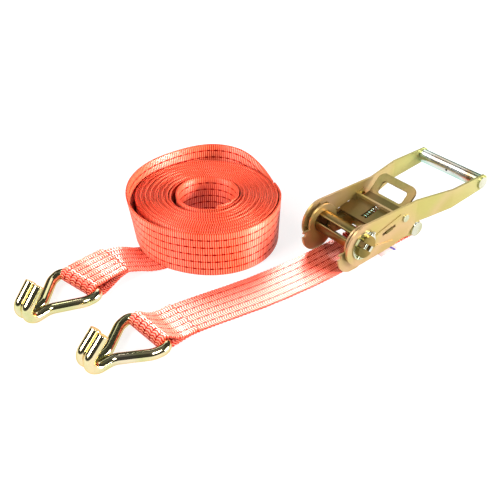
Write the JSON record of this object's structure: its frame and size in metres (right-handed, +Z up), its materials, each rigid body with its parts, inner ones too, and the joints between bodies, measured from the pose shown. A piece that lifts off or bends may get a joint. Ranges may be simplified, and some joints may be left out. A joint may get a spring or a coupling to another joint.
{
  "type": "ratchet tie down",
  "caption": "Ratchet tie-down strap kit: yellow-zinc ratchet buckle with a short orange strap, a coiled long orange strap, and a double-J wire hook on each strap.",
  "frame": {"origin": "centre of the winding drum, on its axis, midway between the side plates", "axes": "+X from the drum to the handle's grip, +Y across the drum to the left side, +Z up from the floor"},
  "size_m": [0.516, 0.2561, 0.0631],
  "materials": {
    "zinc_plate": "yellow zinc chromate over pressed steel, glossy, with green and pink sheen",
    "zinc_dark": "darker yellow-zinc on the hardened wheels and pawls",
    "zinc_hook": "yellow-green zinc over round wire, very glossy",
    "zinc_bolt": "pale yellow-green zinc on the bolt, nut, rivets and pins",
    "zinc_tube": "pale blue-green zinc on the tubes",
    "drum_steel": "turned steel bars",
    "spring_steel": "spring wire",
    "webbing_orange": "woven polyester webbing, fluorescent orange with a light sheen",
    "label_vinyl": "printed vinyl tag, left blank"
  },
  "bodies": {
    "frame": {"frame_plate_left": "zinc_plate", "frame_plate_right": "zinc_plate", "frame_tie": "zinc_plate", "anchor_bolt": "zinc_bolt", "anchor_nut": "zinc_bolt", "anchor_spacer": "zinc_tube", "lock_pawl_springs": "spring_steel"},
    "drum": {"drum_bar_upper": "drum_steel", "drum_bar_lower": "drum_steel", "ratchet_wheel_left": "zinc_dark", "ratchet_wheel_right": "zinc_dark", "drum_washers": "zinc_bolt", "split_pins": "zinc_bolt"},
    "handle": {"handle_plate_left": "zinc_plate", "handle_plate_right": "zinc_plate", "handle_bridge": "zinc_plate", "handle_rivets": "zinc_bolt", "grip_tube": "zinc_tube", "grip_rod": "zinc_bolt", "drive_pawl_spring": "spring_steel"},
    "drive_pawl": {"drive_pawl": "zinc_dark"},
    "lock_pawl": {"lock_pawl": "zinc_dark"},
    "short_strap": {"short_strap_run": "webbing_orange", "short_strap_anchor_loop": "webbing_orange", "short_strap_hook_loop": "webbing_orange", "strap_label": "label_vinyl"},
    "short_hook": {"short_hook": "zinc_hook"},
    "long_strap": {"long_strap_coil": "webbing_orange", "long_strap_tail": "webbing_orange", "long_strap_hook_loop": "webbing_orange"},
    "long_hook": {"long_hook": "zinc_hook"}
  },
  "joints": [
    {"name": "drum_turn", "type": "hinge", "parent": "frame", "child": "drum", "pos_m": [0, 0, 0], "axis": [0, 1, 0], "continuous": true},
    {"name": "handle_swing", "type": "hinge", "parent": "frame", "child": "handle", "pos_m": [0, 0, 0], "axis": [0, -1, 0], "range_deg": [0, 170]},
    {"name": "drive_pawl_slide", "type": "slide", "parent": "handle", "child": "drive_pawl", "axis": [0.9781, 0, 0.2079], "range_m": [-0.0046, 0.005], "stiffness_N_per_m": 500, "deforming": ["drive_pawl_spring"]},
    {"name": "lock_pawl_slide", "type": "slide", "parent": "frame", "child": "lock_pawl", "axis": [0.9622, 0, -0.2723], "range_m": [0, 0.005], "stiffness_N_per_m": 500, "deforming": ["lock_pawl_springs"]},
    {"name": "short_strap_swing", "type": "hinge", "parent": "frame", "child": "short_strap", "pos_m": [0.093, 0, -0.0203], "axis": [0, -1, 0], "range_deg": [0, 180]},
    {"name": "short_hook_swing", "type": "hinge", "parent": "short_strap", "child": "short_hook", "pos_m": [-0.232, 0.017, -0.0247], "axis": [-0.0698, 0.9976, 0], "range_deg": [-90, 75]},
    {"name": "long_strap_lift", "type": "slide", "parent": "frame", "child": "long_strap", "axis": [0, 0, 1], "range_m": [0, 0.25]},
    {"name": "long_hook_swing", "type": "hinge", "parent": "long_strap", "child": "long_hook", "pos_m": [-0.247, 0.125, -0.0247], "axis": [-0.2079, 0.9781, 0], "range_deg": [-90, 75]}
  ]
}
